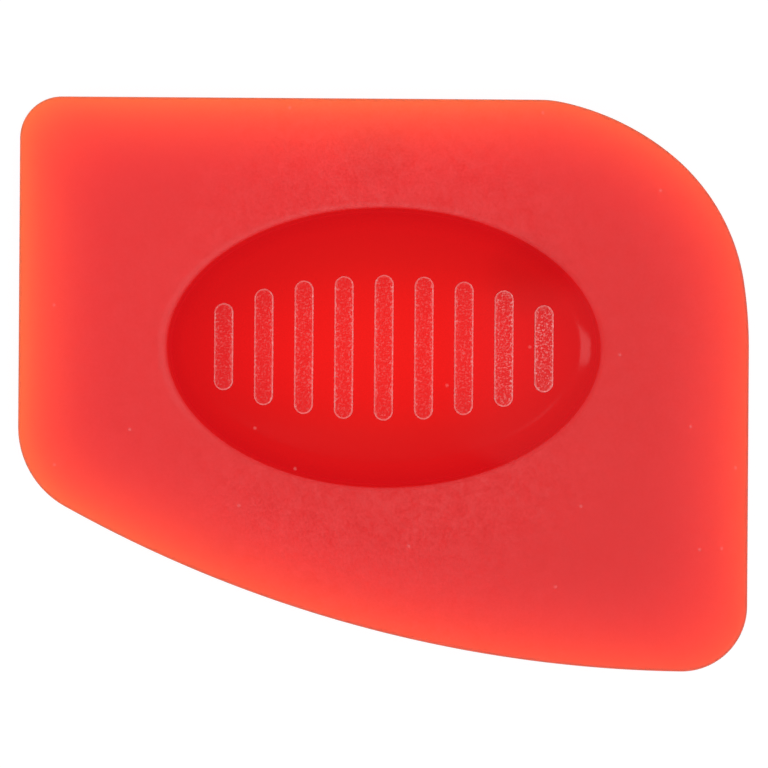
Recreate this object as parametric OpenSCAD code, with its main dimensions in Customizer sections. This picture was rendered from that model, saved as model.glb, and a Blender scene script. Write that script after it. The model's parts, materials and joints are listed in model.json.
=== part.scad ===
// Hand scraper for cleaning pans: one moulding of translucent plastic, thick in the middle and thin
// all round its edge. It lies on its back. X runs along its length and Y across it, Z is up, and the
// origin is on the surface that it rests on, under the middle of its box.

/* [Outline] */
// Overall length, from the left edge to the right edge
blade_l = 110; // [96:1:140]
// Overall width, from the top edge to the lowest point of the curved edge
blade_w = 86; // [80:1:110]
// Radius of the square corner, between the left and top edges
square_corner_r = 6.3; // [3:0.1:12]
// Radius of the heel, between the left edge and the curved edge
heel_r = 13.7; // [9:0.1:20]
// Radius of the toe, between the curved edge and the right edge
toe_r = 9.9; // [6:0.1:14]
// Radius of the long curved edge
curved_edge_r = 197; // [170:1:320]
// Distance from the right edge to the lowest point of the curved edge
toe_reach = 8.2; // [6:0.1:16]

/* [Shoulder] */
// Radius where the shoulder leaves the right edge
shoulder_start_r = 66; // [50:1:80]
// Angle that this first arc turns through
shoulder_start_turn = 9; // [5:0.5:12]
// Radius of the round part of the shoulder
shoulder_r = 30.7; // [26:0.1:36]
// Angle that the round part turns through
shoulder_turn = 42.5; // [38:0.5:46]
// Radius of the flatter run up to the top edge
shoulder_run_r = 39; // [30:1:46]
// Angle that the flatter run turns through
shoulder_run_turn = 26.5; // [22:0.5:30]
// Radius where the shoulder meets the top edge
shoulder_end_r = 17.2; // [17:0.1:22]

/* [Section] */
// Thickness of the flat middle
middle_t = 5.8; // [5:0.1:8]
// Thickness of the narrow land that the two mould halves leave along the edge
land_t = 0.2; // [0.1:0.05:0.6]
// Radius of the round edge above and below the land
edge_r = 0.9; // [0.6:0.05:1.2]
// Distance from the edge to the flat middle
taper_w = 16; // [12:0.5:16]
// Radius of the curve between the taper and the flat middle
blend_r = 40; // [20:1:60]
// Radius of the corners of the flat middle
middle_corner_r = 8; // [4:0.5:14]

/* [Thumb dishes] */
// Length of each oval dish
dish_l = 65.8; // [50:0.1:72]
// Width of each oval dish
dish_w = 42.5; // [34:0.1:46]
// Depth of each dish at its middle
dish_depth = 1.3; // [0.9:0.05:1.6]
// Height of the upright wall under each dish's rim
dish_wall = 0.4; // [0.1:0.05:0.5]
// Distance from the top edge to the rim of the dish
dish_margin = 16.3; // [14:0.1:20]

/* [Grip ribs] */
// Number of ribs in the front dish
rib_count = 9; // [5:2:11]
// Distance from one rib to the next
rib_pitch = 6; // [5:0.1:6.5]
// Width of a rib
rib_w = 3; // [2:0.1:4]
// Height of a rib above the floor of the dish
rib_h = 0.35; // [0.2:0.05:0.4]
// Length of the oval that the ribs fill
rib_field_l = 60; // [54:1:62]
// Width of the oval that the ribs fill
rib_field_w = 22; // [16:1:26]

/* [Hidden] */

$fn = 180;
// Longest step and widest turn between two points of the outline
outline_step = 4;
outline_turn = 7.5;
// Steps round the edge and along the blend
edge_steps = 4;
blend_steps = 4;
// Least radius left on an arc of the shoulder that the taper has used up
least_r = 0.5;
// How far a cutting shape passes its work
pass = 1;

// The section is drawn in distance from the edge and height above the middle plane. Its taper is the
// line that touches both the edge's circle and the blend's circle.
edge_c = [edge_r, land_t / 2];
blend_c = [taper_w, middle_t / 2 - blend_r];
between = blend_c - edge_c;
taper_angle = acos((edge_r - blend_r) / norm(between)) - atan2(between.x, between.y);

section = concat(
    [for (i = [0 : edge_steps])
        let (a = (90 - taper_angle) * i / edge_steps)
        edge_c + edge_r * [-cos(a), sin(a)]],
    [for (i = [0 : blend_steps])
        let (a = taper_angle * (1 - i / blend_steps))
        blend_c + blend_r * [-sin(a), cos(a)]]
);

// Middle of the dishes
dish_y = blade_w / 2 - dish_margin - dish_w / 2;
// The bowl's depth below its wall, and the radii that give it that depth along and across the oval
bowl_depth = dish_depth - dish_wall;
bowl_long_r = (pow(dish_l / 2, 2) + pow(bowl_depth, 2)) / (2 * bowl_depth);
bowl_cross_r = (pow(dish_w / 2, 2) + pow(bowl_depth, 2)) / (2 * bowl_depth);

function direction(a) = [cos(a), sin(a)];

function mix(from, to, share) = from + (to - from) * share;

// Points of an arc about c, from angle a0 to angle a1
function arc(c, r, a0, a1) =
    let (steps = ceil(max((a1 - a0) / outline_turn, r * (a1 - a0) * PI / 180 / outline_step)))
    [for (i = [0 : steps]) c + r * direction(mix(a0, a1, i / steps))];

// Middle of the corner of radius r that touches the long curved edge and an upright edge at x. It
// is rounded from the inside, to the left of the upright edge where side is 1, and right where -1.
function corner_on_curve(curve_c, curve_r, x, side, r) =
    let (cx = x - side * r)
    [cx, curve_c.y - sqrt(pow(curve_r - r, 2) - pow(cx - curve_c.x, 2))];

// Angle of a point as seen from c, from 0 to 360
function bearing(c, p) = (atan2(p.y - c.y, p.x - c.x) + 360) % 360;

// The outline, drawn in by inset. The corners grow from their own radius at the edge to the flat
// middle's, so that the ridges between two tapers are round.
function outline(inset) =
    let (
        right = blade_l / 2 - inset,
        top = blade_w / 2 - inset,
        ease = inset / taper_w,

        turns = [0, shoulder_start_turn, shoulder_start_turn + shoulder_turn,
            shoulder_start_turn + shoulder_turn + shoulder_run_turn, 90],
        radii = [for (r = [shoulder_start_r, shoulder_r, shoulder_run_r, shoulder_end_r])
            max(r - inset, least_r)],
        step_1 = (radii[0] - radii[1]) * direction(turns[1]),
        step_2 = step_1 + (radii[1] - radii[2]) * direction(turns[2]),
        step_3 = step_2 + (radii[2] - radii[3]) * direction(turns[3]),
        shoulder_c = [right - radii[0], top - radii[3] - step_3.y],

        square_r = mix(square_corner_r, middle_corner_r, ease),
        square_c = [square_r - right, top - square_r],

        curve_r = curved_edge_r - inset,
        curve_c = [blade_l / 2 - toe_reach, curved_edge_r - blade_w / 2],
        heel = mix(heel_r, middle_corner_r, ease),
        heel_c = corner_on_curve(curve_c, curve_r, -right, -1, heel),
        toe = mix(toe_r, middle_corner_r, ease),
        toe_c = corner_on_curve(curve_c, curve_r, right, 1, toe)
    )
    concat(
        arc(shoulder_c, radii[0], turns[0], turns[1]),
        arc(shoulder_c + step_1, radii[1], turns[1], turns[2]),
        arc(shoulder_c + step_2, radii[2], turns[2], turns[3]),
        arc(shoulder_c + step_3, radii[3], turns[3], turns[4]),
        arc(square_c, square_r, 90, 180),
        arc(heel_c, heel, 180, bearing(curve_c, heel_c)),
        arc(curve_c, curve_r, bearing(curve_c, heel_c), bearing(curve_c, toe_c)),
        arc(toe_c, toe, bearing(curve_c, toe_c), 360)
    );

// The plate without its dishes, lofted through the outlines of its section
module plate() {
    translate([0, 0, middle_t / 2])
        hull()
            for (p = section)
                linear_extrude(height = 2 * p.y, center = true)
                    polygon(outline(p.x));
}

// The bowl of a dish, cut from the top face by a barrel: its curves along and across meet the wall
// at the same depth all round the oval. With lift, the same bowl stands that much higher.
module barrel(lift = 0) {
    $fn = 1440;
    height = dish_depth + pass;
    span = 2 * asin((dish_l / 2 + pass) / bowl_long_r);
    translate([0, dish_y, middle_t - dish_depth + lift + bowl_long_r])
        rotate([90, 0, 0])
            rotate_extrude(angle = span, start = 270 - span / 2)
                intersection() {
                    translate([bowl_long_r - bowl_cross_r, 0])
                        circle(bowl_cross_r);
                    translate([bowl_long_r - height, -dish_w / 2 - pass])
                        square([height + pass, dish_w + 2 * pass]);
                }
}

// A column over an outline in the top face, as deep as the dish
module column() {
    translate([0, dish_y, middle_t - dish_depth - pass])
        linear_extrude(height = dish_depth + 2 * pass)
            children();
}

// The oval rim
module rim_outline() {
    scale([1, dish_w / dish_l])
        circle(d = dish_l);
}

// A row of bars with round ends, as long as the oval that they fill
module rib_outlines() {
    for (i = [0 : rib_count - 1]) {
        x = (i - (rib_count - 1) / 2) * rib_pitch;
        reach = rib_field_w / 2 * sqrt(1 - pow(2 * x / rib_field_l, 2)) - rib_w / 2;
        translate([x, 0]) {
            square([rib_w, 2 * reach], center = true);
            for (end = [-1, 1])
                translate([0, end * reach])
                    circle(d = rib_w);
        }
    }
}

// What the front dish takes away. The ribs stay on its floor, and their tops follow the same bowl.
module front_dish() {
    intersection() {
        column() rim_outline();
        difference() {
            barrel();
            difference() {
                column() rib_outlines();
                barrel(rib_h);
            }
        }
    }
}

module back_dish() {
    translate([0, 0, middle_t])
        mirror([0, 0, 1])
            intersection() {
                column() rim_outline();
                barrel();
            }
}

module scraper_body() {
    color([0.90, 0.16, 0.15])
        difference() {
            plate();
            front_dish();
            back_dish();
        }
}

scraper_body();
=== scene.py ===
import json
from math import acos, atan2, ceil, cos, pi, radians, sin, sqrt, tan

import bmesh
import bpy
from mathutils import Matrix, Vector

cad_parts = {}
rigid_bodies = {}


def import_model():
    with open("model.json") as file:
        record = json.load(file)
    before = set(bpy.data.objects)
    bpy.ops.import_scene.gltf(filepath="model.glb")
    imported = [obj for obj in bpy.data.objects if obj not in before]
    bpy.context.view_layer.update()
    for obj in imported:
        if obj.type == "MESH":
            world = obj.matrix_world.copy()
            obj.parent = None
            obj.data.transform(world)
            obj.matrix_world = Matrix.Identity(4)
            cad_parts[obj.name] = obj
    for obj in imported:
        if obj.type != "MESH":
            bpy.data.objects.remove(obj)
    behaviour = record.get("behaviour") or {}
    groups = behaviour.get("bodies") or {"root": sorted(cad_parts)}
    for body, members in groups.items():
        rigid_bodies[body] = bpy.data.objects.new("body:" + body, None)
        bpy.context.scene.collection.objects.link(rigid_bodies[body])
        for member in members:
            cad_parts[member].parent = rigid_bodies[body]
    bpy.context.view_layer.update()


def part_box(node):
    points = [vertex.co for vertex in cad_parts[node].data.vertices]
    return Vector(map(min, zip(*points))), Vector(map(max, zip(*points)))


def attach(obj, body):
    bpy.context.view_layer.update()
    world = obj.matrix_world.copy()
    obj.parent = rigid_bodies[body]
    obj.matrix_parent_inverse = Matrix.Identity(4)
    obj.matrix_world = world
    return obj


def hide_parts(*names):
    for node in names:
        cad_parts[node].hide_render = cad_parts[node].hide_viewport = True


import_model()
low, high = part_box("scraper_body")
mm = 0.001
hair = 0.001 * mm                     # points nearer than this are one
print("frame loaded")


# Selecting and editing

def clearSelection():
    for thing in bpy.context.scene.objects:
        thing.select_set(False)


def startEdit(piece):
    clearSelection()
    piece.select_set(True)
    bpy.context.view_layer.objects.active = piece
    bpy.ops.object.mode_set(mode="EDIT")
    bpy.ops.mesh.select_mode(type="VERT")
    return bmesh.from_edit_mesh(piece.data)


def endEdit():
    bpy.ops.object.mode_set(mode="OBJECT")


def applyAll(piece):
    clearSelection()
    piece.select_set(True)
    bpy.context.view_layer.objects.active = piece
    for modifier in list(piece.modifiers):
        bpy.ops.object.modifier_apply(modifier=modifier.name)


# A ring is a list of mesh points in order. growRing extrudes it and puts the new ring in its places.
def growRing(mesh, ring, places):
    bpy.ops.mesh.select_all(action="DESELECT")
    for point in ring:
        point.select = True
    for point, after in zip(ring, ring[1:] + ring[:1]):
        next(edge for edge in point.link_edges if edge.other_vert(point) == after).select = True
    bpy.ops.mesh.extrude_edges_move()
    grown = []
    for point, place in zip(ring, places):
        new = next(edge.other_vert(point) for edge in point.link_edges if edge.other_vert(point).select)
        new.co = place
        grown.append(new)
    return grown


# The plate

plate = {
    "length": high.x - low.x,
    "width": high.y - low.y,
    "thickness": high.z - low.z,
    "squareCorner": 6.3 * mm,
    "heel": 13.7 * mm,
    "toe": 9.9 * mm,
    "toeReach": 8.2 * mm,             # from the right edge to the lowest point of the curved edge
    "curvedEdge": 197 * mm,
    "shoulderRadii": [66 * mm, 30.7 * mm, 39 * mm, 17.2 * mm],
    "shoulderTurns": [0, 9, 51.5, 78, 90],    # degrees at which they start, and the last one ends
    "leastRadius": 0.5 * mm,          # left on a shoulder arc that the taper has used up
    "land": 0.2 * mm,                 # the narrow flat that the two mould halves leave along the edge
    "edgeRadius": 0.9 * mm,
    "taper": 16 * mm,                 # from the edge to the flat middle
    "blend": 40 * mm,
    "middleCorner": 8 * mm,
    "spacing": 0.5 * mm,              # between points along the outline
    "edgeSteps": 10,
    "taperSteps": 4,
    "support": 0.15 * mm,             # from a tangent to the ring that keeps the taper's shading flat
    "blendSteps": 8,
    "smoothBelow": 32,                # degrees: edges that turn less are shaded smooth
}

# The thumb dish, the same on both faces

dish = {
    "length": 65.8 * mm,
    "width": 42.5 * mm,
    "margin": 16.3 * mm,              # from the top edge to the rim
    "depth": 1.3 * mm,
    "wall": 0.4 * mm,
    "wallSlope": 9,                   # degrees from level, so that light still leaves through it
    "wallDrop": 0.2 * mm,             # of its straight part
    "wallOut": 0.08 * mm,             # how far its top stands out past the oval
    "rimRadius": 1.0 * mm,
    "hollowRadius": 1.0 * mm,
    "footSlope": 6.5,                 # degrees, where the tight hollow turns into the wide one
    "support": 0.05 * mm,             # from the rim's round edge to the ring that keeps the face flat
    "roundSteps": 8,
    "floorRings": 16,
}
dish["y"] = plate["width"] / 2 - dish["margin"] - dish["width"] / 2
dish["bowl"] = dish["depth"] - dish["wall"]
dish["longRadius"] = ((dish["length"] / 2) ** 2 + dish["bowl"] ** 2) / (2 * dish["bowl"])
dish["crossRadius"] = ((dish["width"] / 2) ** 2 + dish["bowl"] ** 2) / (2 * dish["bowl"])


def mixed(start, end, share):
    return start + (end - start) * share


# The outline drawn in by inset, as arcs: middle, radius, first angle, last angle. Its corners grow
# from their own radius at the edge to the flat middle's.
def outlineArcs(inset):
    right = plate["length"] / 2 - inset
    top = plate["width"] / 2 - inset
    ease = inset / plate["taper"]
    turns = [radians(turn) for turn in plate["shoulderTurns"]]
    radii = [max(radius - inset, plate["leastRadius"]) for radius in plate["shoulderRadii"]]
    middles = [Vector((0, 0))]
    for i in range(len(radii) - 1):
        step = Vector((cos(turns[i + 1]), sin(turns[i + 1]))) * (radii[i] - radii[i + 1])
        middles.append(middles[i] + step)
    shoulder = Vector((right - radii[0], top - radii[-1] - middles[-1].y))
    arcs = [(shoulder + middles[i], radii[i], turns[i], turns[i + 1]) for i in range(len(radii))]

    square = mixed(plate["squareCorner"], plate["middleCorner"], ease)
    arcs.append((Vector((square - right, top - square)), square, pi / 2, pi))

    curve = plate["curvedEdge"] - inset
    curveMiddle = Vector((
        plate["length"] / 2 - plate["toeReach"], plate["curvedEdge"] - plate["width"] / 2))

    def cornerOnCurve(edge, side, radius):
        x = edge - side * radius
        middle = Vector((x, curveMiddle.y - sqrt((curve - radius) ** 2 - (x - curveMiddle.x) ** 2)))
        toCorner = middle - curveMiddle
        return middle, atan2(toCorner.y, toCorner.x) % (2 * pi)

    heel = mixed(plate["heel"], plate["middleCorner"], ease)
    toe = mixed(plate["toe"], plate["middleCorner"], ease)
    heelMiddle, heelBearing = cornerOnCurve(-right, -1, heel)
    toeMiddle, toeBearing = cornerOnCurve(right, 1, toe)
    arcs.append((heelMiddle, heel, pi, heelBearing))
    arcs.append((curveMiddle, curve, heelBearing, toeBearing))
    arcs.append((toeMiddle, toe, toeBearing, 2 * pi))
    return arcs


def arcPoint(arc, share):
    middle, radius, first, last = arc
    angle = mixed(first, last, share)
    return middle + radius * Vector((cos(angle), sin(angle)))


# How many points each arc, and the straight after it, gets: the same on every ring
outlineCounts = []
baseArcs = outlineArcs(0)
for arc, after in zip(baseArcs, baseArcs[1:] + baseArcs[:1]):
    straight = (arcPoint(after, 0) - arcPoint(arc, 1)).length
    arcCount = ceil(arc[1] * (arc[3] - arc[2]) / plate["spacing"])
    outlineCounts.append((arcCount, ceil((straight - hair) / plate["spacing"])))


def outlinePoints(inset):
    arcs = outlineArcs(inset)
    points = []
    for arc, after, (arcCount, straightCount) in zip(arcs, arcs[1:] + arcs[:1], outlineCounts):
        points += [arcPoint(arc, i / arcCount) for i in range(arcCount)]
        start = arcPoint(arc, 1)
        end = arcPoint(after, 0)
        points += [start.lerp(end, i / straightCount) for i in range(straightCount)]
    return points


# The section from the edge to the flat middle: distance from the edge, and height over the middle plane
def sectionPoints():
    edge = Vector((plate["edgeRadius"], plate["land"] / 2))
    blend = Vector((plate["taper"], plate["thickness"] / 2 - plate["blend"]))
    between = blend - edge
    turn = (plate["edgeRadius"] - plate["blend"]) / between.length
    angle = acos(turn) - atan2(between.x, between.y)
    points = [Vector((0, 0))]
    for i in range(plate["edgeSteps"] + 1):
        a = (pi / 2 - angle) * i / plate["edgeSteps"]
        points.append(edge + plate["edgeRadius"] * Vector((-cos(a), sin(a))))
    start = points[-1]
    end = blend + plate["blend"] * Vector((-sin(angle), cos(angle)))
    along = (end - start).normalized() * plate["support"]
    points.append(start + along)
    for i in range(1, plate["taperSteps"]):
        points.append(start.lerp(end, i / plate["taperSteps"]))
    points.append(end - along)
    for i in range(plate["blendSteps"] + 1):
        a = angle * (1 - i / plate["blendSteps"])
        points.append(blend + plate["blend"] * Vector((-sin(a), cos(a))))
    return points


# Height of the dish's floor over the bottom of the bowl
def bowlHeight(x, y):
    across = dish["longRadius"] - dish["crossRadius"] + sqrt(dish["crossRadius"] ** 2 - y ** 2)
    return dish["longRadius"] - sqrt(across ** 2 - x ** 2)


# Points of the oval that stands out past the rim by out, or of one that is a share of the rim's size
def ovalPoints(parameters, out, share=1):
    long = dish["length"] / 2 * share + out
    cross = dish["width"] / 2 * share + out
    return [(long * cos(t), dish["y"] + cross * sin(t)) for t in parameters]


# The rim's profile, as distance out from the rim and drop from the face: a round edge, a short straight
# wall, a tight hollow at its foot, and a wide hollow that runs out into the bowl
def rimProfile():
    wall = radians(dish["wallSlope"])
    foot = radians(dish["footSlope"])
    edgeDrop = dish["rimRadius"] * (1 - cos(wall))
    hollowDrop = dish["hollowRadius"] * (cos(foot) - cos(wall))
    footRadius = (dish["wall"] - edgeDrop - dish["wallDrop"] - hollowDrop) / (1 - cos(foot))
    out = dish["wallOut"] + dish["rimRadius"] * sin(wall)
    drop = 0
    points = [(out + dish["support"], drop), (out, drop)]
    for radius, start, end in (
            (dish["rimRadius"], 0, wall),
            (None, wall, wall),               # the straight wall
            (dish["hollowRadius"], wall, foot),
            (footRadius, foot, 0)):
        if radius is None:
            out -= dish["wallDrop"] / tan(wall)
            drop += dish["wallDrop"]
            points.append((out, drop))
            continue
        for i in range(dish["roundSteps"]):
            a = mixed(start, end, i / dish["roundSteps"])
            b = mixed(start, end, (i + 1) / dish["roundSteps"])
            out -= radius * abs(sin(b) - sin(a))
            drop += radius * abs(cos(b) - cos(a))
            points.append((out, drop))
    return points


def makePlate():
    first = outlinePoints(0)
    bpy.ops.mesh.primitive_circle_add(
        vertices=len(first), radius=plate["width"] / 2, fill_type="NOTHING")
    piece = bpy.context.active_object
    piece.name = "scraper"
    for point, place in zip(piece.data.vertices, first):
        point.co = (place.x, place.y, 0)
    mesh = startEdit(piece)
    mesh.verts.ensure_lookup_table()
    ring = [mesh.verts[i] for i in range(len(first))]

    for inset, height in sectionPoints()[1:]:
        ring = growRing(mesh, ring, [(p.x, p.y, height) for p in outlinePoints(inset)])

    # the rim: each point of the flat's edge faces the point of the oval on its line to the dish's middle
    top = plate["thickness"] / 2
    floor = top - dish["depth"]
    parameters = []
    for point in ring:
        y = point.co.y - dish["y"]
        parameters.append(atan2(dish["length"] * y, dish["width"] * point.co.x))
    for out, drop in rimProfile():
        ring = growRing(mesh, ring, [
            (x, y, top - drop + min(bowlHeight(x, y - dish["y"]) - dish["bowl"], 0))
            for x, y in ovalPoints(parameters, out)])

    # the floor, in ovals that shrink to its middle
    for i in range(1, dish["floorRings"]):
        share = 1 - i / dish["floorRings"]
        ring = growRing(mesh, ring, [
            (x, y, floor + bowlHeight(x, y - dish["y"]))
            for x, y in ovalPoints(parameters, out * share, share)])
    bpy.ops.mesh.extrude_edges_move()
    bpy.ops.mesh.merge(type="CENTER")
    endEdit()

    # the other face is its mirror image in the middle plane
    mirror = piece.modifiers.new("back", "MIRROR")
    mirror.use_axis = (False, False, True)
    mirror.merge_threshold = hair
    applyAll(piece)
    startEdit(piece)
    bpy.ops.mesh.select_all(action="SELECT")
    bpy.ops.mesh.remove_doubles(threshold=hair)
    bpy.ops.mesh.normals_make_consistent(inside=False)
    bpy.ops.transform.translate(value=(0, 0, low.z + top))
    endEdit()
    return piece


scraper = makePlate()
print("plate", len(scraper.data.polygons), "faces")


# Grip ribs in the front dish

ribs = {
    "count": 9,
    "pitch": 6 * mm,
    "width": 3 * mm,
    "height": 0.35 * mm,
    "fieldLength": 60 * mm,
    "fieldWidth": 22 * mm,
    "draft": 0.1 * mm,                # how far the side leans in from foot to top
    "round": 0.25 * mm,
    "sunk": 0.4 * mm,                 # how far the bar reaches below the floor
    "sides": 48,                      # of the round that is pulled apart into a bar
    "bevelSteps": 4,
    "station": 1 * mm,                # between the cuts that let the bar follow the bowl
}


def makeRib(x):
    reach = ribs["fieldWidth"] / 2 * sqrt(1 - (2 * x / ribs["fieldLength"]) ** 2) - ribs["width"] / 2
    bpy.ops.mesh.primitive_circle_add(
        vertices=ribs["sides"], radius=ribs["width"] / 2, fill_type="NGON",
        location=(0, 0, -ribs["sunk"]))
    bar = bpy.context.active_object
    bar.name = "rib"
    bpy.ops.object.transform_apply(location=True, rotation=False, scale=False)
    mesh = startEdit(bar)
    bpy.ops.mesh.select_all(action="DESELECT")
    for end in (-1, 1):               # pull the round's two halves apart into a bar
        for point in mesh.verts:
            point.select = point.co.y * end > hair
        mesh.select_flush(True)
        bpy.ops.transform.translate(value=(0, end * reach, 0))
    bpy.ops.mesh.select_all(action="SELECT")
    bpy.ops.mesh.extrude_region_move(
        TRANSFORM_OT_translate={"value": (0, 0, ribs["sunk"] + ribs["height"])})
    narrower = 1 - 2 * ribs["draft"] / ribs["width"]
    shorter = 1 - ribs["draft"] / (reach + ribs["width"] / 2)
    bpy.ops.transform.resize(value=(narrower, shorter, 1))
    mesh.select_flush(True)
    bpy.ops.mesh.bevel(offset=ribs["round"], segments=ribs["bevelSteps"], affect="EDGES")
    stations = int(reach // ribs["station"])
    for cut in range(-stations, stations + 1):
        bpy.ops.mesh.select_all(action="SELECT")
        bpy.ops.mesh.bisect(plane_co=(0, cut * ribs["station"], 0), plane_no=(0, 1, 0))
    endEdit()
    floor = high.z - dish["depth"]
    for point in bar.data.vertices:
        point.co.z += floor + bowlHeight(point.co.x + x, point.co.y)
        point.co.x += x
        point.co.y += dish["y"]
    return bar


def addRibs():
    bars = [makeRib((i - (ribs["count"] - 1) / 2) * ribs["pitch"]) for i in range(ribs["count"])]
    clearSelection()
    for bar in bars:
        bar.select_set(True)
    bpy.context.view_layer.objects.active = bars[0]
    bpy.ops.object.join()
    joined = bars[0]
    union = scraper.modifiers.new("ribs", "BOOLEAN")
    union.operation = "UNION"
    union.object = joined
    applyAll(scraper)
    bpy.data.objects.remove(joined)


addRibs()
clearSelection()
scraper.select_set(True)
bpy.context.view_layer.objects.active = scraper
bpy.ops.object.shade_smooth_by_angle(angle=radians(plate["smoothBelow"]))
print("ribs", len(scraper.data.polygons), "faces")


# Shader maths: a Wire is an output that takes part in sums, and a Shader adds nodes to one tree

class Wire:
    def __init__(self, shader, socket):
        self.shader = shader
        self.socket = socket

    def math(self, operation, first, second):
        return self.shader.node("ShaderNodeMath", {"operation": operation}, {0: first, 1: second})

    def __add__(self, other):
        return self.math("ADD", self, other)

    def __radd__(self, other):
        return self.math("ADD", other, self)

    def __sub__(self, other):
        return self.math("SUBTRACT", self, other)

    def __rsub__(self, other):
        return self.math("SUBTRACT", other, self)

    def __mul__(self, other):
        return self.math("MULTIPLY", self, other)

    def __rmul__(self, other):
        return self.math("MULTIPLY", other, self)


class Shader:
    def __init__(self, owner):
        owner.use_nodes = True
        self.tree = owner.node_tree
        self.tree.nodes.clear()

    # adds a node: its settings are set first, then its sockets get their values or links
    def node(self, kind, settings=None, sockets=None, output=0):
        node = self.tree.nodes.new(kind)
        for name, setting in (settings or {}).items():
            setattr(node, name, setting)
        for name, value in (sockets or {}).items():
            if isinstance(value, Wire):
                self.tree.links.new(value.socket, node.inputs[name])
            else:
                node.inputs[name].default_value = value
        return Wire(self, node.outputs[output]) if node.outputs else node

    # 0 below start and 1 above end, with a soft step between
    def step(self, value, start, end):
        return self.node("ShaderNodeMapRange", {"interpolation_type": "SMOOTHSTEP"},
                         {"Value": value, "From Min": start, "From Max": end})

    def noise(self, place, size, detail=2.0, rough=0.5):
        return self.node("ShaderNodeTexNoise", {},
                         {"Vector": place, "Scale": 1 / size, "Detail": detail, "Roughness": rough})

    # 0 at the middle of an oval and 1 on it, from its half axes
    def inOval(self, x, y, halfLength, halfWidth):
        return x * x * (1 / halfLength ** 2) + y * y * (1 / halfWidth ** 2)

    def outputs(self, wire, *names):
        return [Wire(self, wire.socket.node.outputs[name]) for name in names]

    # sockets 6 and 7 are the two colours, and output 2 is the mixed one
    def mixColour(self, share, first, second):
        return self.node("ShaderNodeMix", {"data_type": "RGBA"},
                         {"Factor": share, 6: first, 7: second}, 2)

    def tinted(self, colour, factor):
        return self.node("ShaderNodeMix", {"data_type": "RGBA", "blend_type": "MULTIPLY"},
                         {"Factor": 1.0, 6: colour, 7: factor}, 2)


# The finish: one translucent plastic, frosted outside and polished in the dishes

finish = {
    "upperLeft": (0.945, 0.44, 0.03),     # what the frosted faces let through; this and the next differ only as painted light to the upper left and painted shade to the lower right
    "lowerRight": (0.88, 0.23, 0.018),
    "paintedLightGradient": (-9, 11),                  # painted light towards the first, per metre along and across
    "dishMiddle": (0.725, 0.075, 0.01),   # and the polished dish: painted shade deeper at its rim and painted light brightest in its middle
    "dishRim": (0.63, 0.09, 0.01),
    "absorbed": (98, 800, 250),           # taken on the way, per metre
    "bend": 1.585,                        # index of refraction
    "frosted": 0.75,                      # roughness of each surface
    "ribRough": 0.34,
    "polished": 0.07,
    "fine": 0.4 * mm,                     # size of the mould's two grains
    "broad": 1.6 * mm,
    "broadShare": 0.5,                    # of the broad one beside the fine one
    "grainDepth": 0.008 * mm,
    "grainLoss": (0.6, 0.45),             # share of it gone far along the plate, and far from the dish
    "grainTint": 0.28,                    # how much the grain varies the colour
    "grainBloom": 2.5,                    # and the bloom
    "bloom": 0.52,                        # coat on the frosted faces
    "bloomRough": 0.7,
    "dishBloom": 0.22,                    # and on the right of the dish
    "paintedHalo": 0.6,                          # and a painted highlight on top of it along the rim's upper left
    "ribTint": 0.3,                       # share of the frosted colour on the ribs
    "granule": 0.3 * mm,
    "granules": (0.14, 0.3, 0.3),         # on the ribs, more at their sides, and more on the right
    "paintedEdgeHighlight": 0.25,                     # painted highlight on the ribs' round edges
    "edgeHighlightGrain": 0.5,                     # and how much the fine grain breaks up that painted highlight
    "dust": 0.14,
    "speckSpacing": 6 * mm,
    "speck": 0.36 * mm,
    "speckCore": 0.3,                     # share of it that is full
    "pale": (1.0, 0.5, 0.48),             # granules, painted edge highlights and dust
}

# Where one finish gives way to the next. Spans without a unit count 1 at the rim of their oval.
spans = {
    "frost": (0.95, 1.02),
    "bloom": (0.98, 1.04),
    # the painted highlight along the rim's upper left
    "paintedHaloStart": (0.985, 1.01),
    "paintedHaloEnd": (1.02, 1.08),
    "paintedHaloSide": (-8 * mm, 22 * mm),
    "paintedHaloLean": 0.8,                      # slope of the line that the side is measured from
    "ribField": (29 * mm, 12.5 * mm),     # half axes of the oval that holds the ribs
    "ribFieldEnd": (1.0, 1.1),
    "ribTop": (0.1 * mm, 0.2 * mm),       # height over the bowl
    "ribFoot": (0.04 * mm, 0.1 * mm),
    "ribCrest": (0.31 * mm, 0.348 * mm),
    "ribSide": (0.6 * mm, 1.3 * mm),      # distance from a rib's middle line
    "ribsRight": (12 * mm, 22 * mm),
    "grainLong": 34 * mm,                 # where its loss along the plate is full
    "grainEnd": (1.6, 2.6),
    "grit": (0.5, 0.66),                  # noise at which a granule begins and is full
    "glow": (34 * mm, 14 * mm),           # half axes of the dish's painted light, brightest at their middle
    "traceLeft": (6 * mm, 20 * mm),
    "traceTop": (6 * mm, 12 * mm),
    "traceFoot": (-12.5 * mm, -9.5 * mm),
    "traceLean": 0.35,                    # slope of its foot
    "speckCells": (0.78, 0.79),           # share of the cells that hold no speck
    "front": (2.9 * mm, 3.3 * mm),        # height from which only the front face is left
}

# Two soft darker spots of painted shade: middle as seen from the dish's, radius, and how much darker
paintedShadeSpots = [
    ((-1.2 * mm, 29.8 * mm), 6.5 * mm, 0.06),
    ((21.5 * mm, 11.2 * mm), 7.5 * mm, 0.08),
]


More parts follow.
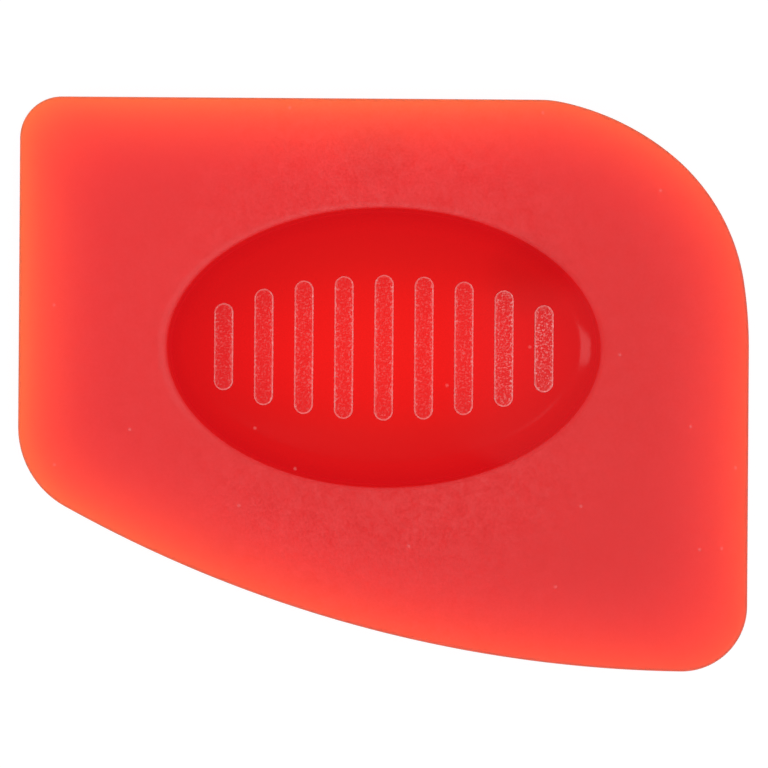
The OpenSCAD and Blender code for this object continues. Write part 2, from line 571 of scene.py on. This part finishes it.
def redPolycarbonate():
    material = bpy.data.materials.new("redPolycarbonate")
    shader = Shader(material)
    step = shader.step
    place = shader.node("ShaderNodeTexCoord", output="Object")
    x, y, z = shader.outputs(shader.node("ShaderNodeSeparateXYZ", {}, {0: place}), "X", "Y", "Z")
    y = y - dish["y"]

    # 1 outside the dish's rim, on the ribs, and on the ribs' round edges
    oval = shader.inOval(x, y, dish["length"] / 2, dish["width"] / 2)
    outside = step(oval, *spans["frost"])
    bowl = x * x * (0.5 / dish["longRadius"]) + y * y * (0.5 / dish["crossRadius"])
    lift = z - (high.z - dish["depth"]) - bowl
    field = 1 - step(shader.inOval(x, y, *spans["ribField"]), *spans["ribFieldEnd"])
    onRib = step(lift, *spans["ribTop"]) * field
    ribEdge = step(lift, *spans["ribFoot"]) * (1 - step(lift, *spans["ribCrest"])) * field

    # the mould's grain, strongest above and below the dish: two noises, each from -0.5 to 0.5
    lossAlong, lossAway = finish["grainLoss"]
    fade = 1 - lossAlong * step(x * x, 0, spans["grainLong"] ** 2)
    fade = fade * (1 - lossAway * step(oval, *spans["grainEnd"]))
    fine = shader.noise(place, finish["fine"], detail=3.0, rough=0.6) - 0.5
    broad = shader.noise(place, finish["broad"]) - 0.5
    grain = (fine + broad * finish["broadShare"]) * fade * outside

    # colour: painted light paler to the upper left and painted shade deeper to the lower right, and in
    # the dish painted light brightest along its middle
    along, across = finish["paintedLightGradient"]
    side = step(0.5 + x * along + y * across, 0, 1)
    frostedTintWithPaintedLight = shader.mixColour(side, (*finish["lowerRight"], 1), (*finish["upperLeft"], 1))
    # painted light brightest along the dish's middle, painted shade towards its rim
    glow = 1 - step(shader.inOval(x, y, *spans["glow"]), 0, 1)
    dishTintWithPaintedLight = shader.mixColour(glow, (*finish["dishRim"], 1), (*finish["dishMiddle"], 1))
    tint = shader.mixColour(outside + onRib * finish["ribTint"], dishTintWithPaintedLight, frostedTintWithPaintedLight)
    shade = 1 + grain * finish["grainTint"]
    # two soft spots of painted shade
    for (spotX, spotY), radius, darker in paintedShadeSpots:
        away = shader.inOval(x - spotX, y - spotY, radius, radius)
        shade = shade * (1 - darker * (1 - step(away, 0, 1)))
    tint = shader.tinted(tint, shade)

    # bloom: the frosted faces' own pale sheen, a trace of it on the right of the dish, and a painted
    # highlight: a pale line round the rim's upper left
    trace = step(x, *spans["traceLeft"]) * (1 - step(y, *spans["traceTop"]))
    trace = trace * step(y + x * spans["traceLean"], *spans["traceFoot"])
    # painted highlight along the rim's upper left
    paintedHalo = step(oval, *spans["paintedHaloStart"]) - step(oval, *spans["paintedHaloEnd"])
    paintedHalo = paintedHalo * step(y - x * spans["paintedHaloLean"], *spans["paintedHaloSide"])
    bloom = (step(oval, *spans["bloom"]) * finish["bloom"] + (1 - outside) * trace * finish["dishBloom"]
             + grain * finish["grainBloom"] + paintedHalo * finish["paintedHalo"])

    # pale scatter: granules on the ribs, painted highlights along their round edges, and a few specks of
    # dust
    grit = step(shader.noise(place, finish["granule"], detail=3.0, rough=0.7), *spans["grit"])
    nearSide = step(x.math("PINGPONG", x, ribs["pitch"] / 2), *spans["ribSide"])
    everywhere, atSides, onRight = finish["granules"]
    granules = grit * (everywhere + nearSide * atSides + step(x, *spans["ribsRight"]) * onRight)
    cells = shader.node("ShaderNodeTexVoronoi", {"voronoi_dimensions": "2D"},
                        {"Vector": place, "Scale": 1 / finish["speckSpacing"]})
    chosen = step(shader.outputs(cells, "Color")[0], *spans["speckCells"])
    size = finish["speck"] / finish["speckSpacing"]
    specks = chosen * (1 - step(cells, finish["speckCore"] * size, size)) * step(z, *spans["front"])
    # painted highlights along the ribs' round edges, then granules and dust
    scatter = (ribEdge * (finish["paintedEdgeHighlight"] + fine * finish["edgeHighlightGrain"]) + onRib * granules
               + specks * finish["dust"])

    roughness = (finish["polished"] + (finish["frosted"] - finish["polished"]) * outside
                 + (finish["ribRough"] - finish["polished"]) * onRib)
    bump = shader.node("ShaderNodeBump", {}, {
        "Strength": 1.0, "Distance": finish["grainDepth"], "Height": fine * outside})
    body = shader.node("ShaderNodeBsdfPrincipled", {}, {
        "Base Color": tint, "Roughness": roughness, "IOR": finish["bend"], "Transmission Weight": 1.0,
        "Coat Weight": bloom, "Coat Roughness": finish["bloomRough"], "Normal": bump})
    pale = shader.node("ShaderNodeBsdfDiffuse", {}, {"Color": (*finish["pale"], 1)})
    surface = shader.node("ShaderNodeMixShader", {}, {0: scatter, 1: body, 2: pale})
    density = max(finish["absorbed"])
    kept = [1 - part / density for part in finish["absorbed"]]
    inside = shader.node("ShaderNodeVolumeAbsorption", {}, {"Color": (*kept, 1), "Density": density})
    shader.node("ShaderNodeOutputMaterial", {}, {"Surface": surface, "Volume": inside})
    return material


scraper.data.materials.clear()
scraper.data.materials.append(redPolycarbonate())
print("finish")


# The studio: a white floor, soft lamps, light from all round, and a camera straight above

studio = {
    "frameWidth": 115.72 * mm,        # what the picture's 768 pixels span, level with the outline
    "centre": (0.0685 * mm, 0.0124 * mm),     # what the camera stands over
    "turn": 0.3923,                   # degrees that it is turned
    "lens": 135,
    "sensor": 36,                     # both in millimetres, as the camera takes them
    "tent": 1.15,                     # light from all round
    "lean": 0.12,                     # how much brighter it is to the lower right
    "hole": 24,                       # the dark round the camera, in degrees from straight up,
    "holeEdge": 32,                   # and where it ends
    "holeLight": 0.06,
    "floorSize": 6,
    "floorGap": 0.25 * mm,
    "floorGlow": 0.92,
    "floorGrey": 0.13,
}

# Each lamp's place and size in metres, and how bright its face is
lamps = {
    "stripBox": ((-0.094, 0.013, 0.8), (0.058, 0.080), 0.85),
    "faintBox": ((-0.014, 0.070, 0.8), (0.0147, 0.028), 0.25),
    "lowBox": ((0.5, -0.5, 0.45), (0.5, 0.3), 0.8),
}


def makeFloor():
    bpy.ops.mesh.primitive_plane_add(
        size=studio["floorSize"], location=(0, 0, low.z - studio["floorGap"]))
    floor = bpy.context.active_object
    floor.name = "floor"
    material = bpy.data.materials.new("floorWhite")
    shader = Shader(material)
    direct, mirrored, through = shader.outputs(
        shader.node("ShaderNodeLightPath"), "Is Camera Ray", "Is Glossy Ray", "Is Transmission Ray")
    glow = (direct + mirrored + through) * studio["floorGlow"]
    white = shader.node("ShaderNodeEmission", {}, {"Color": (1, 1, 1, 1), "Strength": glow})
    grey = studio["floorGrey"]
    lit = shader.node("ShaderNodeBsdfDiffuse", {}, {"Color": (grey, grey, grey, 1)})
    surface = shader.node("ShaderNodeAddShader", {}, {0: white, 1: lit})
    shader.node("ShaderNodeOutputMaterial", {}, {"Surface": surface})
    floor.data.materials.append(material)


def makeLamp(name, place, size, radiance):
    bpy.ops.object.light_add(type="AREA", location=place)
    lamp = bpy.context.active_object
    lamp.name = name
    lamp.data.shape = "RECTANGLE"
    lamp.data.size, lamp.data.size_y = size
    lamp.data.energy = radiance * pi * size[0] * size[1]
    lamp.rotation_euler = (-Vector(place)).to_track_quat("-Z", "Y").to_euler()


def makeSky():
    world = bpy.data.worlds.new("studio")
    bpy.context.scene.world = world
    shader = Shader(world)
    seen = shader.node("ShaderNodeLightPath", output="Is Camera Ray")
    way = shader.node("ShaderNodeTexCoord", output="Generated")
    east, north, up = shader.outputs(shader.node("ShaderNodeSeparateXYZ", {}, {0: way}), "X", "Y", "Z")
    hole = shader.step(up, cos(radians(studio["holeEdge"])), cos(radians(studio["hole"])))
    tent = (studio["tent"] * (1 + (east - north) * studio["lean"])
            * (1 - hole * (1 - studio["holeLight"])))
    strength = tent + seen * (1 - tent)
    sky = shader.node("ShaderNodeBackground", {}, {"Color": (1, 1, 1, 1), "Strength": strength})
    shader.node("ShaderNodeOutputWorld", {}, {"Surface": sky})


def makeCamera():
    away = studio["frameWidth"] * studio["lens"] / studio["sensor"]
    bpy.ops.object.camera_add(
        location=(*studio["centre"], low.z + plate["thickness"] / 2 + away),
        rotation=(0, 0, radians(studio["turn"])))
    camera = bpy.context.active_object
    camera.data.lens = studio["lens"]
    camera.data.sensor_width = studio["sensor"]
    camera.data.clip_start = 0.01
    bpy.context.scene.camera = camera


makeFloor()
for name, (place, size, radiance) in lamps.items():
    makeLamp(name, place, size, radiance)
makeSky()
makeCamera()
print("studio")

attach(scraper, "root")
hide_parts("scraper_body")
bpy.context.scene.view_settings.view_transform = "Standard"
